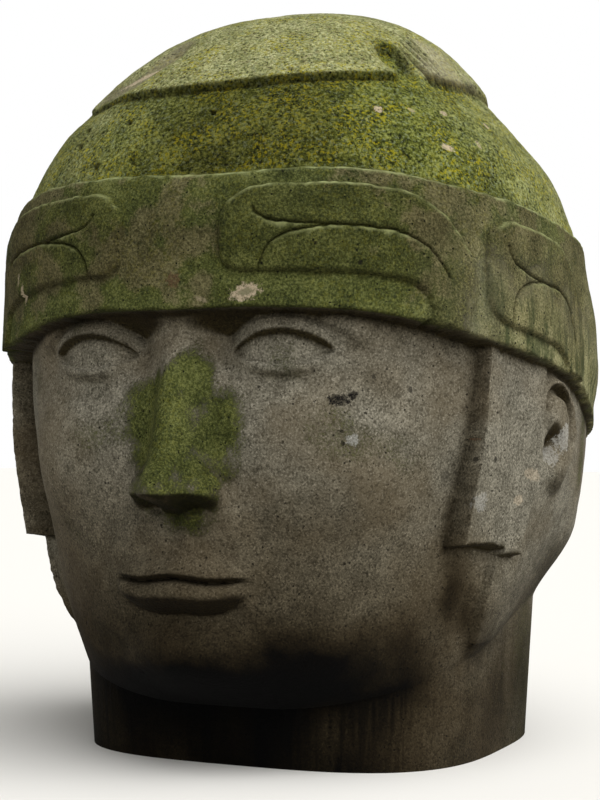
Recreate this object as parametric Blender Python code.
# Colossal stone head: one carved boulder, cut off flat where it meets the ground.
# Metres, +Z up. The face looks along -Y and +X is the head's own left side.

import bmesh
import bpy
import numpy as np

# Overall sizes
HEIGHT = 2.65  # ground to the top of the crown
WIDTH = 2.130  # across the headband and its motifs
DEPTH = 2.040  # headband and its motifs, front to back
BLOCK_POWER = 2.3  # 2 gives an oval plan, more gives a squarer block

# Helmet
HELMET_WALL = 0.12  # crown of the helmet above the skull
BAND_THICKNESS = 0.023
BAND_SWELL = 0.027  # how much thicker the band is at mid height behind the ears
BAND_EDGE = 0.012  # rounding of the band's borders
CROWN_STEP = 0.022  # cap above the slope that runs down to the band
CROWN_STEP_ROUND = 0.014
CROWN_LEAN = 0.024  # the worn crown leans to the left side

# Raised motifs on the band
MOTIF_RELIEF = 0.023
MOTIF_EDGE = 0.022
MOTIF_LENGTH = 0.795
SIDE_MOTIF_LENGTH = 0.570
BACK_MOTIF_LENGTH = 0.700
MOTIF_FOOT = 0.26  # lower and upper edge of the bar, as shares of the band's height
MOTIF_TOP = 0.87
SIDE_MOTIF_FOOT = 0.14
SIDE_MOTIF_TOP = 0.84
MOTIF_LEG = 0.118
GROOVE_DEPTH = 0.016
GROOVE_WIDTH = 0.028

# Hanging straps in front of the ears
STRAP_INSET = 0.008  # outer face behind the helmet's own line
RIGHT_STRAP_FLARE = 0.018  # the right strap stands out further at its top
STRAP_THICKNESS_TOP = 0.060
STRAP_THICKNESS_FOOT = 0.105
STRAP_FOOT = 0.755  # height of the strap's lower end, at its front corner
STRAP_FOOT_SLANT = 0.035  # how much lower the back corner is
TAB_FOOT = 0.410  # height of the lower end of the piece under the strap
TAB_STEP = 0.040
EDGE = 0.014  # run of a carved wall
SIDE_INSET = 0.006  # stone behind the strap, under the band
SIDE_HOLLOW = 0.060  # the same stone lower down, beside the tab

# Ears
EAR_HEIGHT = 0.420
EAR_WIDTH = 0.290
EAR_RELIEF = 0.034
EAR_HOLLOW = 0.055

# Neck block
NECK_WIDTH = 1.475
NECK_DEPTH = 1.360
NECK_SETBACK = 0.130
NECK_POWER = 3.2
NECK_SPREAD = 0.030  # wider at the top than at the ground

# Face, on the usual canon: three and a half units from chin to crown
CHIN_HEIGHT = 0.200
FACE_WIDTH = 1.800
FACE_INSET = 0.042  # skin behind the helmet's own line
NOSE_REACH = 0.205
LIP_RELIEF = 0.046

# Mesh
LEVEL_BELOW = 0.8  # rings are level up to this height
RINGS = 560
COLUMNS = 720
TRIANGLES = 9600

BODY = HEIGHT / 2.65
HALF = WIDTH / 2 - BAND_THICKNESS - MOTIF_RELIEF
HALF_DEPTH = DEPTH / 2 - BAND_THICKNESS - MOTIF_RELIEF
FACE_UNIT = (HEIGHT - HELMET_WALL - CHIN_HEIGHT) / 3.5
NOSE_BASE = CHIN_HEIGHT + FACE_UNIT
EYE_LINE = CHIN_HEIGHT + 1.75 * FACE_UNIT
BROW_LINE = CHIN_HEIGHT + 2 * FACE_UNIT
MOUTH_LINE = NOSE_BASE - FACE_UNIT / 3
LIP_FOOT = NOSE_BASE - FACE_UNIT / 2
EYE_WIDTH = FACE_WIDTH / 5
MOUTH_HALF = 0.75 * EYE_WIDTH


def degrees(value):
    return np.radians(value)


def ramp(x, low, high):
    t = np.clip((x - low) / (high - low), 0.0, 1.0)
    return t * t * (3.0 - 2.0 * t)


def ridge(x, centre, half):
    t = np.clip(np.abs(x - centre) / half, 0.0, 1.0)
    return (1.0 - t * t) ** 2


def mound(x, z, centre_x, centre_z, half_x, half_z):
    # Fades out a third beyond its half sizes, with no rim.
    t = ((x - centre_x) / half_x) ** 2 + ((z - centre_z) / half_z) ** 2
    return np.clip(1.0 - 0.59 * t, 0.0, 1.0) ** 3


def dome(x, z, centre_x, centre_z, half_x, half_z):
    return 1.0 - (1.0 - mound(x, z, centre_x, centre_z, half_x, half_z)) ** 2


def smooth_curve(points, count):
    # Catmull-Rom curve through the points, read at even steps.
    p = np.array(points, float)
    p = np.vstack([2 * p[0] - p[1], p, 2 * p[-1] - p[-2]])
    t = np.linspace(0.0, len(points) - 1.000001, count)
    i = t.astype(int)
    t = (t - i)[:, None]
    a, b, c, d = p[i], p[i + 1], p[i + 2], p[i + 3]
    return 0.5 * (
        2 * b + (c - a) * t + (2 * a - 5 * b + 4 * c - d) * t**2 + (3 * b - a - 3 * c + d) * t**3
    )


def distance_to_path(x, y, points):
    best = np.full(x.shape, np.inf)
    for (ax, ay), (bx, by) in zip(points[:-1], points[1:]):
        run = (bx - ax) ** 2 + (by - ay) ** 2
        t = np.clip(((x - ax) * (bx - ax) + (y - ay) * (by - ay)) / run, 0.0, 1.0)
        best = np.minimum(best, np.hypot(x - ax - t * (bx - ax), y - ay - t * (by - ay)))
    return best


def rounded_box(x, y, left, right, foot, top, radii):
    # Signed distance, with a radius each for top right, foot right, top left and foot left.
    x = x - (left + right) / 2
    y = y - (foot + top) / 2
    right_side = np.where(y > 0, radii[0], radii[1])
    left_side = np.where(y > 0, radii[2], radii[3])
    radius = np.where(x > 0, right_side, left_side)
    qx = np.abs(x) - (right - left) / 2 + radius
    qy = np.abs(y) - (top - foot) / 2 + radius
    outside = np.hypot(np.maximum(qx, 0.0), np.maximum(qy, 0.0))
    return np.minimum(np.maximum(qx, qy), 0.0) + outside - radius


def blended_minimum(a, b, size):
    h = np.maximum(size - np.abs(a - b), 0.0) / size
    return np.minimum(a, b) - h * h * size / 4


def blend_up(a, b, size):
    return -blended_minimum(-a, -b, size)


# Helmet line: share of half the width, share of the height, and how far the centre lies back
PROFILE = (
    (0.850, -0.030, 0.03),
    (0.895, 0.100, 0.03),
    (0.935, 0.200, 0.03),
    (0.968, 0.283, 0.03),
    (0.994, 0.358, 0.03),
    (1.008, 0.434, 0.03),
    (1.000, 0.528, 0.02),
    (0.992, 0.604, 0.02),
    (0.982, 0.672, 0.01),
    (0.948, 0.717, 0.00),
    (0.900, 0.762, 0.00),
    (0.815, 0.807, -0.01),
    (0.732, 0.845, -0.01),
    (0.648, 0.880, 0.00),
    (0.576, 0.909, 0.02),
    (0.492, 0.937, 0.04),
    (0.385, 0.962, 0.06),
    (0.255, 0.980, 0.09),
    (0.125, 0.988, 0.10),
    (0.000, 0.991, 0.10),
)


def helmet_grid():
    # Rings from under the ground to the crown, columns round the block. Rings run along the
    # borders of the band and the cap, and columns lean with the straps, so edges stay clean.
    line = smooth_curve(PROFILE, 4000) * (HALF, HEIGHT, BODY)
    line[-1, 0] = 0.0
    steps = np.hypot(np.diff(line[:, 0]), np.diff(line[:, 1]))
    run = np.concatenate([[0.0], np.cumsum(steps)])
    theta = np.linspace(-np.pi, np.pi, COLUMNS, endpoint=False)
    borders = np.stack([band_foot(theta), band_top(theta), crown_foot(theta)])
    knots = np.interp(borders, line[:, 1], run)
    level = np.interp(LEVEL_BELOW * BODY, line[:, 1], run)
    even = np.concatenate([[0.0, level], knots.mean(axis=1), [run[-1]]])
    rings = np.linspace(0.0, run[-1], RINGS)
    at = np.stack([np.interp(rings, even, [0.0, level, *knots[:, j], run[-1]])
                   for j in range(COLUMNS)], axis=1)
    wide, high, back = (np.interp(at, run, line[:, k]) for k in range(3))
    slope_wide = np.interp(at, run, np.gradient(line[:, 0], run))
    slope_high = np.interp(at, run, np.gradient(line[:, 1], run))
    lean = ramp(high, 0.66 * HEIGHT, 0.80 * HEIGHT)
    out = slope_high * lean + (1.0 - lean)
    up = -slope_wide * lean
    size = np.hypot(out, up)
    slant = degrees(12) * (np.clip(high / BODY, 0.35, 1.45) - 1.05)
    turn = theta + np.sign(theta) * slant * ridge(np.abs(theta), degrees(68), degrees(34))
    return turn, wide, high, back, out / size, up / size


def plan(theta, power, depth_ratio):
    # Distance from the centre to an oval of half-width 1, by the angle from the face.
    across = np.abs(np.sin(theta)) ** power
    along = np.abs(np.cos(theta) / depth_ratio) ** power
    return (across + along) ** (-1.0 / power)


def band_foot(theta):
    wave = 0.015 * np.exp(-(((theta - degrees(38)) / degrees(12)) ** 2))
    wave -= 0.015 * np.exp(-((theta / degrees(14)) ** 2))
    wave -= 0.020 * ramp(-theta, degrees(25), degrees(45)) * ramp(-theta, degrees(110), degrees(80))
    wave -= 0.090 * ramp(np.abs(theta), degrees(88), degrees(118))
    return (1.292 + 0.216 * np.cos(theta) + 0.003 * np.cos(2 * theta) + wave) * BODY


def band_top(theta):
    wave = 0.016 * np.exp(-(((np.abs(theta) - degrees(38)) / degrees(14)) ** 2))
    wave -= 0.020 * np.exp(-(((theta - degrees(6)) / degrees(14)) ** 2))
    return (1.828 + 0.124 * np.cos(theta) + 0.004 * np.cos(2 * theta) + wave) * BODY


def crown_foot(theta):
    tilt = 0.007 * np.cos(theta) - 0.025 * np.cos(2 * theta) + 0.015 * np.sin(theta)
    return (2.262 + tilt) * BODY


def motif_distance(along, height, length, tall, foot, top):
    # A thick bar, its outer end turned down into a narrow leg.
    bar = rounded_box(along, height, 0.0, length, foot * tall, top * tall,
                      (0.41 * tall, 0.02 * tall, 0.25 * tall, 0.16 * tall))
    leg = rounded_box(along, height, length - MOTIF_LEG, length, -0.30 * tall, (foot + 0.24) * tall,
                      (0.1 * tall,) * 4)
    return blended_minimum(bar, leg, 0.22 * tall)


def motif_grooves(length, tall, foot, top):
    # The long line down the middle of bar and leg, and the hook that rises to join it. Heights
    # are shares of the bar, and lengths are those of the longest motif.
    stretch = length / MOTIF_LENGTH
    leg = MOTIF_LENGTH - MOTIF_LEG / 2 / stretch
    long_line = ((0.117, 0.74), (0.147, 0.62), (0.200, 0.57), (0.350, 0.525),
                 (leg - 0.20, 0.525), (leg - 0.105, 0.46), (leg - 0.045, 0.31), (leg - 0.012, 0.13))
    hook = ((0.132, -0.03), (0.136, 0.115), (0.160, 0.28), (0.200, 0.395), (0.260, 0.465), (0.350, 0.515))
    return [
        smooth_curve([(x * stretch, (foot + y * (top - foot)) * tall) for x, y in line], 24)
        for line in (long_line, hook)
    ]


def band_relief(theta, z):
    foot = band_foot(theta)
    top = band_top(theta)
    body = ramp(z, foot, foot + BAND_EDGE) * ramp(z, top, top - 1.6 * BAND_EDGE)
    tall = (top - foot).mean()
    height = (z - foot) / (top - foot) * tall
    turn = np.abs(theta) * HALF
    raised = np.zeros_like(z)
    rows = (
        (degrees(10.2), MOTIF_LENGTH, MOTIF_FOOT, MOTIF_TOP, True),
        (degrees(59.3), SIDE_MOTIF_LENGTH, SIDE_MOTIF_FOOT, SIDE_MOTIF_TOP, True),
        (degrees(125.0), BACK_MOTIF_LENGTH, MOTIF_FOOT, MOTIF_TOP, False),
    )
    for start, length, bar_foot, bar_top, grooved in rows:
        along = turn - start * HALF
        inside = -motif_distance(along, height, length, tall, bar_foot, bar_top)
        pad = MOTIF_RELIEF * ramp(inside, -0.2 * MOTIF_EDGE, MOTIF_EDGE)
        if grooved:
            for path in motif_grooves(length, tall, bar_foot, bar_top):
                away = distance_to_path(along, height, path)
                pad -= GROOVE_DEPTH * ridge(away, 0.0, GROOVE_WIDTH / 2) * (inside > 0)
        raised += pad
    behind = ramp(np.abs(theta), degrees(86), degrees(106)) * ramp(np.abs(theta), degrees(152), degrees(130))
    belly = ramp(height, 0.08 * tall, 0.32 * tall) * ramp(height, 0.92 * tall, 0.50 * tall)
    return body * (BAND_THICKNESS + BAND_SWELL * behind * belly + raised)


def strap_edges(z):
    front = degrees(56.3 + 7.8 * (z - 0.74))
    back = degrees(72.0 + 10.5 * (z - 0.70))
    return front, back


def tab_edges(z):
    front = degrees(67.0 + 7.0 * (z - 0.65))
    back = degrees(75.5 + 8.0 * (z - 0.63))
    return front, back


def hanging(theta, z, edges, top, foot):
    # 1 on the piece between its two edges, with steep walls.
    turn = np.abs(theta)
    front, back = edges(z / BODY)
    wall = EDGE / HALF
    across = ramp(turn, front - wall, front) * ramp(turn, back + wall, back)
    return across * ramp(z, foot - EDGE, foot) * (z < top)


def ear_relief(theta, z):
    x = (np.abs(theta) - degrees(83)) * HALF + 0.12 * (z - 1.10 * BODY)
    y = z - 1.10 * BODY
    half_x = EAR_WIDTH / 2
    half_y = EAR_HEIGHT / 2
    pad = ramp(1.0 - (x / half_x) ** 2 - (y / half_y) ** 2, 0.0, 0.30 + 0.60 * ramp(-y / half_y, 0.0, 0.6))
    rim = [(0.56 * half_x * np.cos(a), (0.16 + 0.56 * np.sin(a)) * half_y)
           for a in np.radians(np.linspace(-50, 165, 15))]
    fold = ridge(distance_to_path(x, y, rim), 0.0, 0.13 * EAR_WIDTH)
    bowl = mound(x, y, -0.36 * half_x, -0.16 * half_y, 0.40 * half_x, 0.34 * half_y)
    return EAR_RELIEF * pad - 0.65 * EAR_HOLLOW * fold - EAR_HOLLOW * bowl


def eye_relief(x, z):
    side = np.abs(x) - EYE_WIDTH
    u = np.clip(np.abs(side) / (EYE_WIDTH / 2), 0.0, 1.0)
    arch = (1.0 - u * u) ** 0.9
    above = z - EYE_LINE - 0.20 * EYE_WIDTH * arch
    below = EYE_LINE - 0.13 * EYE_WIDTH * arch - z
    near = ramp(np.abs(side), 0.60 * EYE_WIDTH, 0.42 * EYE_WIDTH)
    socket = -0.066 * mound(side, z, -0.03, EYE_LINE + 0.01, 0.80 * EYE_WIDTH, 0.50 * EYE_WIDTH)
    inner = -0.034 * mound(side, z, -0.52 * EYE_WIDTH, EYE_LINE + 0.03, 0.28 * EYE_WIDTH, 0.36 * EYE_WIDTH)
    ball = 0.074 * mound(side, z, 0.0, EYE_LINE, 0.56 * EYE_WIDTH, 0.38 * EYE_WIDTH)
    upper_lid = 0.017 * np.exp(-((np.maximum(above, 0.0) / 0.034) ** 2)) * ramp(above, -0.011, 0.0)
    lower_lid = 0.011 * np.exp(-((np.maximum(below, 0.0) / 0.030) ** 2)) * ramp(below, -0.011, 0.0)
    crease = -0.008 * ridge(above, 0.052, 0.020)
    return socket + inner + ball + near * (upper_lid + lower_lid + crease)


def nose_relief(x, z):
    root = EYE_LINE + 0.05
    t = np.clip((z - NOSE_BASE) / (root - NOSE_BASE), 0.0, 1.0)
    reach = NOSE_REACH * (0.26 + 0.74 * (1.0 - t) ** 1.2) * ramp(z, root + 0.13, root - 0.08)
    half = EYE_WIDTH * (0.19 + 0.19 * (1.0 - t) ** 2.6)
    bridge = reach * np.exp(-1.1 * (np.abs(x) / half) ** 2.2)
    foot = NOSE_BASE + 0.016
    tip = 0.20 * NOSE_REACH * mound(x, z, 0.0, foot + 0.062, 0.24 * EYE_WIDTH, 0.090)
    wing = 0.52 * NOSE_REACH * dome(np.abs(x), z, 0.25 * EYE_WIDTH, foot + 0.046, 0.23 * EYE_WIDTH, 0.066)
    merge = 0.060
    body = np.maximum(blend_up(bridge, wing, merge) - merge / 4, 0.0) + tip
    under = ramp(z, foot - 0.028, foot + 0.044)
    nostril = -0.046 * mound(np.abs(x), z, 0.20 * EYE_WIDTH, foot + 0.006, 0.130 * EYE_WIDTH, 0.034)
    return under * body + nostril


def mouth_relief(x, z):
    u = np.clip(np.abs(x) / MOUTH_HALF, 0.0, 1.0)
    arch = (1.0 - u * u) ** 0.62
    line = MOUTH_LINE + 0.007 * np.cos(2.0 * np.pi * u) * (1.0 - u) ** 0.5
    bow = 1.0 - 0.12 * np.exp(-((x / 0.045) ** 2))
    upper = np.clip((z - line) / np.maximum(0.098 * arch * bow, 0.004), 0.0, 1.0)
    lower = np.clip((line - z) / np.maximum(0.116 * arch, 0.004), 0.0, 1.0)
    near = ramp(u, 1.0, 0.72)
    muzzle = 0.064 * mound(x, z, 0.0, MOUTH_LINE + 0.010, 1.75 * MOUTH_HALF, 0.56 * FACE_UNIT)
    upper_edge = 0.55 * (1.0 - upper) ** 0.85 + 0.45 * (0.5 + 0.5 * np.cos(np.pi * upper))
    upper_lip = upper_edge * (0.55 + 0.45 * ramp(z - line, 0.0, 0.026))
    lower_lip = np.clip(np.sin(np.pi * lower**0.80), 0.0, 1.0) ** 0.85
    lips = LIP_RELIEF * np.where(z > line, upper_lip, 1.10 * lower_lip) * near * (0.25 + 0.75 * arch)
    seam = -0.012 * ridge(z, line, 0.014) * near
    corner = -0.010 * mound(np.abs(x), z, 1.00 * MOUTH_HALF, MOUTH_LINE, 0.075, 0.075)
    above = ramp(z, line + 0.092, line + 0.116) * ramp(z, NOSE_BASE, NOSE_BASE - 0.04)
    philtrum = 0.008 * above * (ridge(np.abs(x), 0.045, 0.030) - ridge(x, 0.0, 0.032))
    return muzzle + lips + seam + corner + philtrum


def face_relief(x, z):
    side = np.abs(x)
    brow_line = BROW_LINE - 0.020 - 0.12 * (x / 0.75) ** 2
    brow = 0.024 * ridge(z, brow_line, 0.080) * ramp(side, 0.76, 0.52)
    cheekbone = 0.046 * mound(side, z, 0.48, NOSE_BASE + 0.26 * FACE_UNIT, 0.30, 0.42 * FACE_UNIT)
    hollow = -0.026 * mound(side, z, 0.58, MOUTH_LINE + 0.02, 0.24, 0.40 * FACE_UNIT)
    fold_path = smooth_curve([(0.56 * EYE_WIDTH, NOSE_BASE + 0.08), (0.80 * EYE_WIDTH, NOSE_BASE - 0.06),
                              (0.96 * EYE_WIDTH, MOUTH_LINE - 0.02), (1.00 * EYE_WIDTH, MOUTH_LINE - 0.20)], 10)
    fold = -0.013 * ridge(distance_to_path(side, z, fold_path), 0.0, 0.090)
    fold *= ramp(z, MOUTH_LINE - 0.12, MOUTH_LINE + 0.10) * ramp(z, NOSE_BASE + 0.17, NOSE_BASE - 0.04)
    under_lip = -0.036 * mound(x, z, 0.0, LIP_FOOT - 0.012, 0.26, 0.070)
    chin = 0.074 * mound(x, z, 0.0, CHIN_HEIGHT + 0.27 * FACE_UNIT, 0.27, 0.28 * FACE_UNIT)
    form = brow + cheekbone + hollow + fold + under_lip + chin
    return form + eye_relief(x, z) + nose_relief(x, z) + mouth_relief(x, z)


def head_offset(theta, x, z):
    # How far the carved surface stands out from the helmet's own line below the band.
    turn = np.abs(theta)
    strap_foot = STRAP_FOOT * BODY
    tab_foot = TAB_FOOT * BODY
    top = band_foot(theta) + 0.5 * BAND_EDGE
    thickness = STRAP_THICKNESS_TOP + (STRAP_THICKNESS_FOOT - STRAP_THICKNESS_TOP) * ramp(z, top, strap_foot)
    front, back = strap_edges(z / BODY)
    skin = -FACE_INSET - (STRAP_INSET + thickness - FACE_INSET) * ramp(turn, degrees(30), degrees(57))
    skin -= 0.050 * ridge(turn, degrees(40), degrees(30)) * ramp(z, MOUTH_LINE + 0.1, CHIN_HEIGHT)
    skin += face_relief(x, z) * ramp(turn, degrees(66), degrees(56))
    low = ramp(z, strap_foot + 0.22, strap_foot - 0.14)
    side = -(STRAP_INSET + SIDE_INSET + SIDE_HOLLOW * low) * ramp(turn, degrees(118), degrees(95))
    offset = skin + (side - skin) * ramp(turn, degrees(62), degrees(68))
    offset += ear_relief(theta, z)
    across = np.clip((turn - front) / (back - front), 0.0, 1.0)
    sag = 0.012 * (1.0 - (2.0 * across - 1.0) ** 2)
    tab = hanging(theta, z, tab_edges, strap_foot + EDGE, tab_foot)
    tab_face = -STRAP_INSET - TAB_STEP - 0.012 * ramp(z, strap_foot, tab_foot)
    offset = np.where(tab > 0, np.maximum(offset, offset + (tab_face - offset) * tab), offset)
    strap = hanging(theta, z, strap_edges, top, strap_foot - STRAP_FOOT_SLANT * across)
    flare = RIGHT_STRAP_FLARE * ramp(z, strap_foot, top) * (theta < 0)
    return offset + (flare - STRAP_INSET - sag - offset) * strap


def crown_wear(x, y, z):
    high = ramp(z, 0.80 * HEIGHT, 0.84 * HEIGHT)
    scoop = distance_to_path(x, y, [(0.47, -0.42), (0.56, -0.36), (0.67, -0.29)])
    worn = -0.050 * ridge(scoop, 0.0, 0.070)
    worn -= 0.024 * mound(x, y, 0.63, -0.16, 0.17, 0.24)
    lens = distance_to_path(x, y, [(-0.54, -0.55), (-0.36, -0.62), (-0.18, -0.60)])
    worn -= 0.022 * ridge(lens, 0.0, 0.085)
    return worn * high


def carved_points():
    t, wide, z, centre, out, up = helmet_grid()
    radius = wide * plan(t, BLOCK_POWER, HALF_DEPTH / HALF)
    x = radius * np.sin(t)
    y = centre - radius * np.cos(t)
    foot = band_foot(t)
    below = ramp(z, foot + 0.5 * BAND_EDGE, foot - 0.5 * BAND_EDGE)
    cap = ramp(z, crown_foot(t), crown_foot(t) + CROWN_STEP_ROUND)
    offset = head_offset(t, x, z) * below + band_relief(t, z)
    offset += CROWN_STEP * cap + crown_wear(x, y, z)
    reach = radius + offset * out
    z = z + offset * up
    x = reach * np.sin(t) + CROWN_LEAN * ramp(z, 0.84 * HEIGHT, HEIGHT)
    y = centre - reach * np.cos(t)
    # Jaw and nape round under to the neck block.
    jaw = (CHIN_HEIGHT + 0.31 * ramp(np.abs(t), degrees(12), degrees(118))) * BODY
    rounding = (0.18 + 0.11 * ramp(np.abs(t), degrees(10), degrees(90))) * BODY
    rise = np.clip((z - jaw) / rounding, 0.0, 1.0)
    roundness = 0.55 + 0.75 * ramp(np.abs(t), degrees(70), degrees(112))
    keep = np.sin(0.5 * np.pi * rise) ** roundness
    neck = (NECK_WIDTH / 2 + NECK_SPREAD * z / (0.5 * BODY)) * plan(t, NECK_POWER, NECK_DEPTH / NECK_WIDTH)
    neck_x = neck * np.sin(t)
    neck_y = NECK_SETBACK - neck * np.cos(t)
    x = neck_x + (x - neck_x) * keep
    y = neck_y + (y - neck_y) * keep
    return np.stack([x, y, z], axis=-1)


def closed_mesh(points):
    rings, columns = points.shape[:2]
    last = (rings - 1) * columns
    bm = bmesh.new()
    crown = points[-1].mean(axis=0)
    verts = [bm.verts.new(p) for p in points[:-1].reshape(-1, 3)]
    apex = bm.verts.new(crown)
    for i in range(rings - 2):
        row = i * columns
        for j in range(columns):
            k = (j + 1) % columns
            bm.faces.new((verts[row + j], verts[row + k], verts[row + columns + k], verts[row + columns + j]))
    row = last - columns
    for j in range(columns):
        bm.faces.new((verts[row + j], verts[row + (j + 1) % columns], apex))
    bm.faces.new([verts[j] for j in reversed(range(columns))])
    mesh = bpy.data.meshes.new("carved block")
    bm.to_mesh(mesh)
    bm.free()
    return mesh


def thinned(mesh, triangles):
    # Fewer triangles, kept where the carving needs them.
    helper = bpy.data.objects.new("thinning", mesh)
    bpy.context.scene.collection.objects.link(helper)
    modifier = helper.modifiers.new("Thin", "DECIMATE")
    mesh.calc_loop_triangles()
    modifier.ratio = triangles / len(mesh.loop_triangles)
    modifier.use_collapse_triangulate = True
    bpy.context.view_layer.update()
    graph = bpy.context.evaluated_depsgraph_get()
    result = bpy.data.meshes.new_from_object(helper.evaluated_get(graph))
    bpy.data.objects.remove(helper)
    bpy.data.meshes.remove(mesh)
    return result


def cut_at_ground(mesh):
    bm = bmesh.new()
    bm.from_mesh(mesh)
    everything = bm.verts[:] + bm.edges[:] + bm.faces[:]
    bmesh.ops.bisect_plane(
        bm, geom=everything, dist=1e-5, plane_co=(0, 0, 0), plane_no=(0, 0, -1), clear_outer=True
    )
    rim = [edge for edge in bm.edges if edge.is_boundary]
    bmesh.ops.edgeloop_fill(bm, edges=rim)
    bmesh.ops.recalc_face_normals(bm, faces=bm.faces[:])
    bm.to_mesh(mesh)
    bm.free()


def weathered_stone():
    material = bpy.data.materials.new("weathered basalt")
    material.use_nodes = True
    shader = material.node_tree.nodes["Principled BSDF"]
    shader.inputs["Base Color"].default_value = (0.105, 0.098, 0.062, 1.0)
    shader.inputs["Roughness"].default_value = 0.93
    shader.inputs["Metallic"].default_value = 0.0
    return material


def build_head():
    mesh = thinned(closed_mesh(carved_points()), TRIANGLES)
    cut_at_ground(mesh)
    mesh.name = "colossal_head"
    mesh.shade_smooth()
    mesh.set_sharp_from_angle(angle=degrees(38))
    mesh.materials.append(weathered_stone())
    head = bpy.data.objects.new("colossal_head", mesh)
    bpy.context.scene.collection.objects.link(head)
    return head


for existing in list(bpy.data.objects):
    bpy.data.objects.remove(existing)

build_head()
